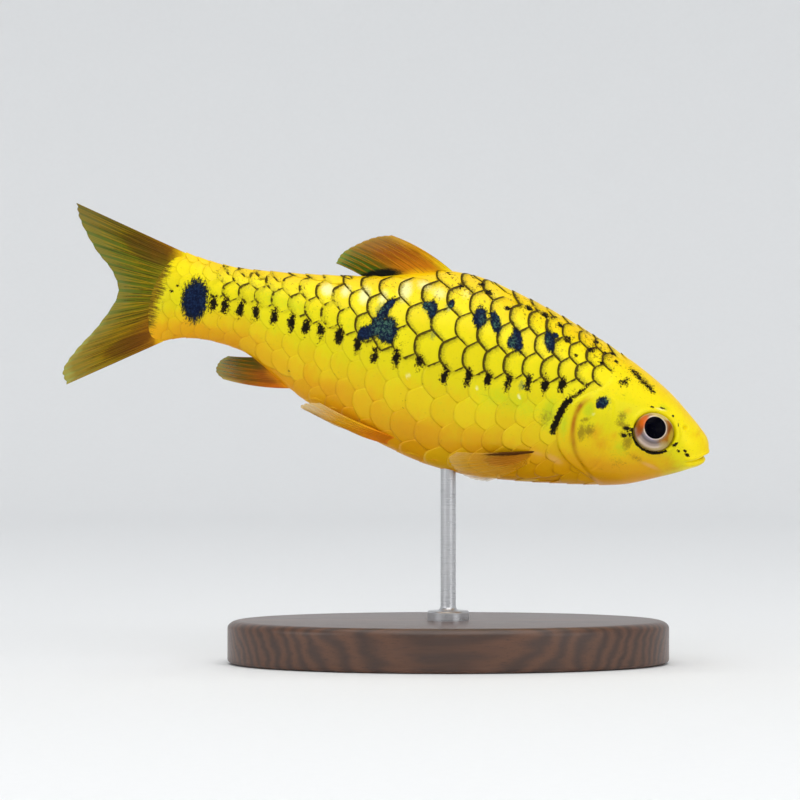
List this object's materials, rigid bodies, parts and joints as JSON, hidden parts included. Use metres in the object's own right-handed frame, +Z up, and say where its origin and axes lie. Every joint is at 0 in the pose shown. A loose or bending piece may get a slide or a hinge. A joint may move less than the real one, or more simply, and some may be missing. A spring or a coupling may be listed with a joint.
{
  "type": "gold barb model",
  "caption": "Still, life-size model of a gold barb swimming nose-down, held over a flat oval base by one short rod.",
  "frame": {"origin": "middle of the model's bounding box, on the underside of the stand's base", "axes": "+X towards the fish's head, +Y towards the fish's left side, +Z up"},
  "size_m": [0.0674, 0.028, 0.048],
  "materials": {
    "golden_skin": "satin fish skin",
    "gill_cover_skin": "satin fish skin",
    "eye": "wet gloss",
    "dorsal_fin_skin": "satin membrane",
    "anal_fin_skin": "satin membrane",
    "tail_fin_skin": "satin membrane",
    "paired_fin_skin": "satin membrane",
    "dark_wood": "satin varnish",
    "satin_steel": "satin"
  },
  "bodies": {
    "root": {"head": "golden_skin", "trunk": "golden_skin", "tail_stalk": "golden_skin", "gill_cover_left": "gill_cover_skin", "gill_cover_right": "gill_cover_skin", "eye_left": "eye", "eye_right": "eye", "dorsal_fin": "dorsal_fin_skin", "anal_fin": "anal_fin_skin", "tail_fin_upper": "tail_fin_skin", "tail_fin_lower": "tail_fin_skin", "pectoral_fin_left": "paired_fin_skin", "pectoral_fin_right": "paired_fin_skin", "pelvic_fin_left": "paired_fin_skin", "pelvic_fin_right": "paired_fin_skin", "stand_base": "dark_wood", "stand_rod": "satin_steel"}
  },
  "joints": []
}
